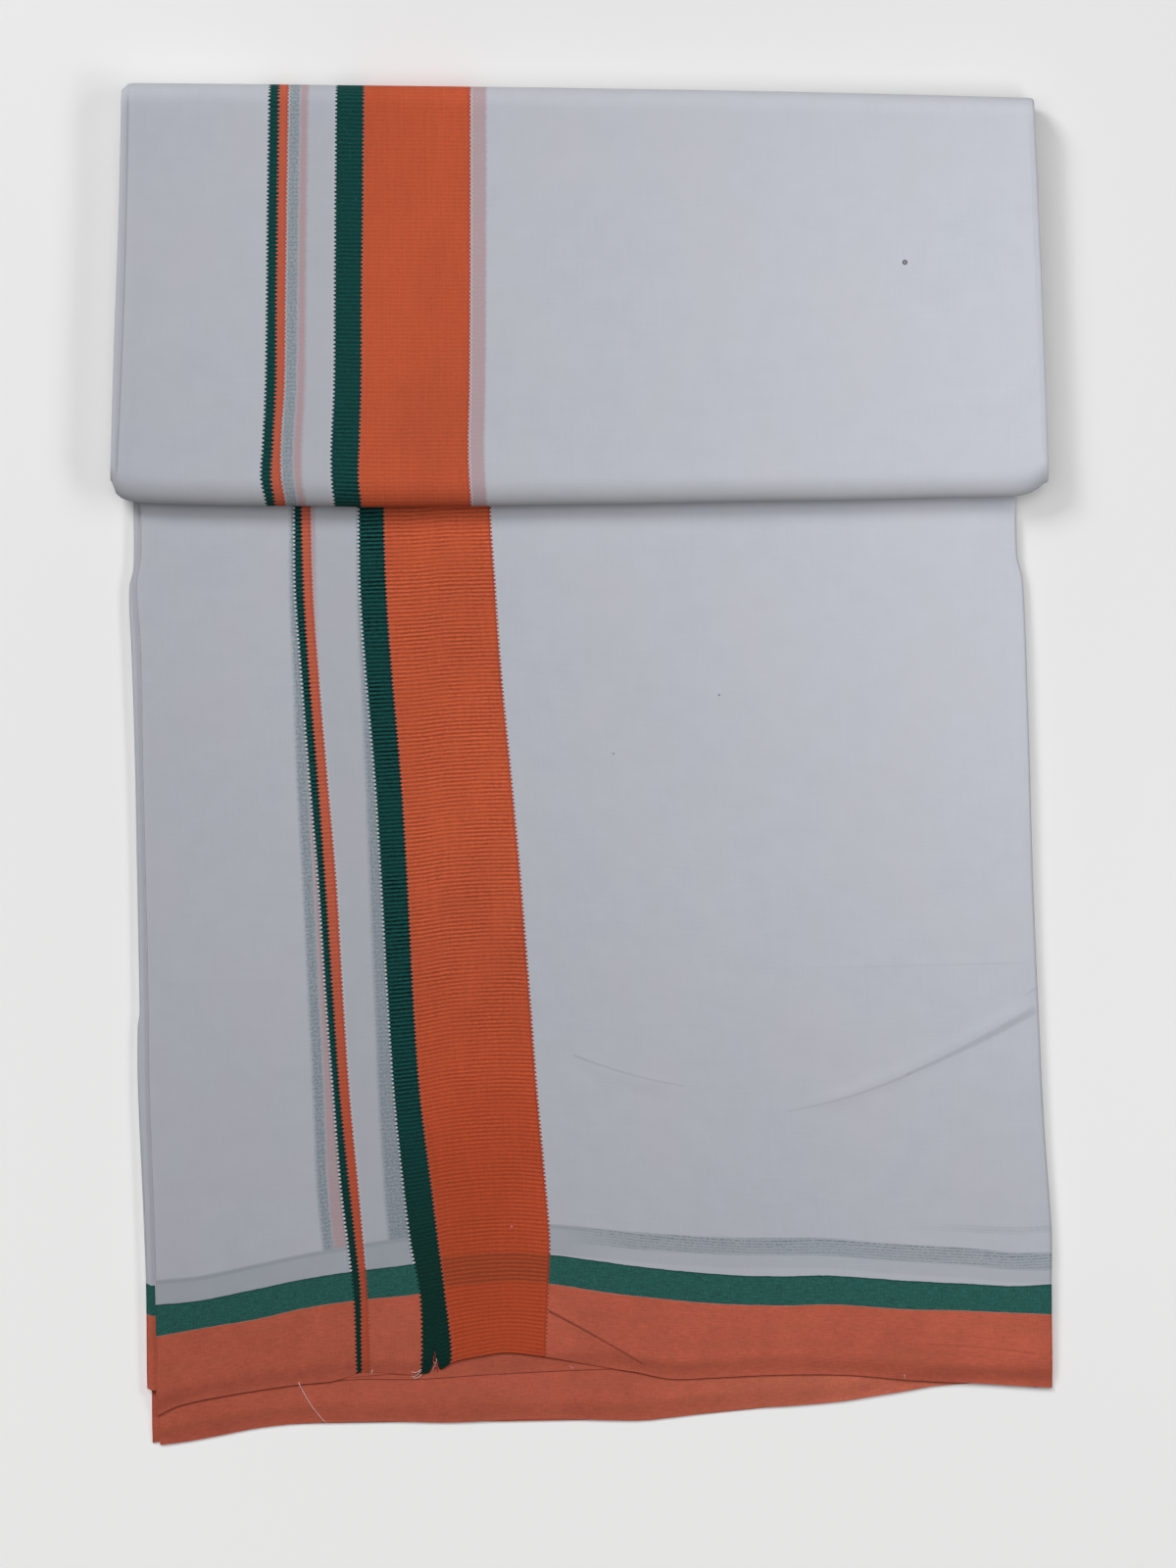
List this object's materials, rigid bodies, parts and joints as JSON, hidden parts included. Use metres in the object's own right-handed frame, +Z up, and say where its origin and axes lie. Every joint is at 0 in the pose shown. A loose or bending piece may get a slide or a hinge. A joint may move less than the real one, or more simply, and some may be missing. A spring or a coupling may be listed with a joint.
{
  "type": "folded dhoti cloth",
  "caption": "Dhoti cloth of white cotton with woven green and orange borders, folded flat into a panel under a turned-over packet.",
  "frame": {"origin": "centre of the folded cloth's outline, on the plane that it rests on", "axes": "+X to the right across the folded leaves (the cloth's length), +Y from the loose striped hem towards the back fold (the cloth's width), +Z up"},
  "size_m": [0.457, 0.661, 0.0204],
  "materials": {
    "white_cotton": "matt plain weave, very fine",
    "orange_selvedge": "matt plain weave, orange warp"
  },
  "bodies": {
    "root": {"flap_top_leaf": "white_cotton", "flap_second_leaf": "white_cotton", "packet_hidden_layers": "white_cotton", "panel_top_leaf": "white_cotton", "panel_middle_leaf": "orange_selvedge", "panel_second_leaf": "orange_selvedge", "panel_hidden_layers": "white_cotton"}
  },
  "joints": []
}
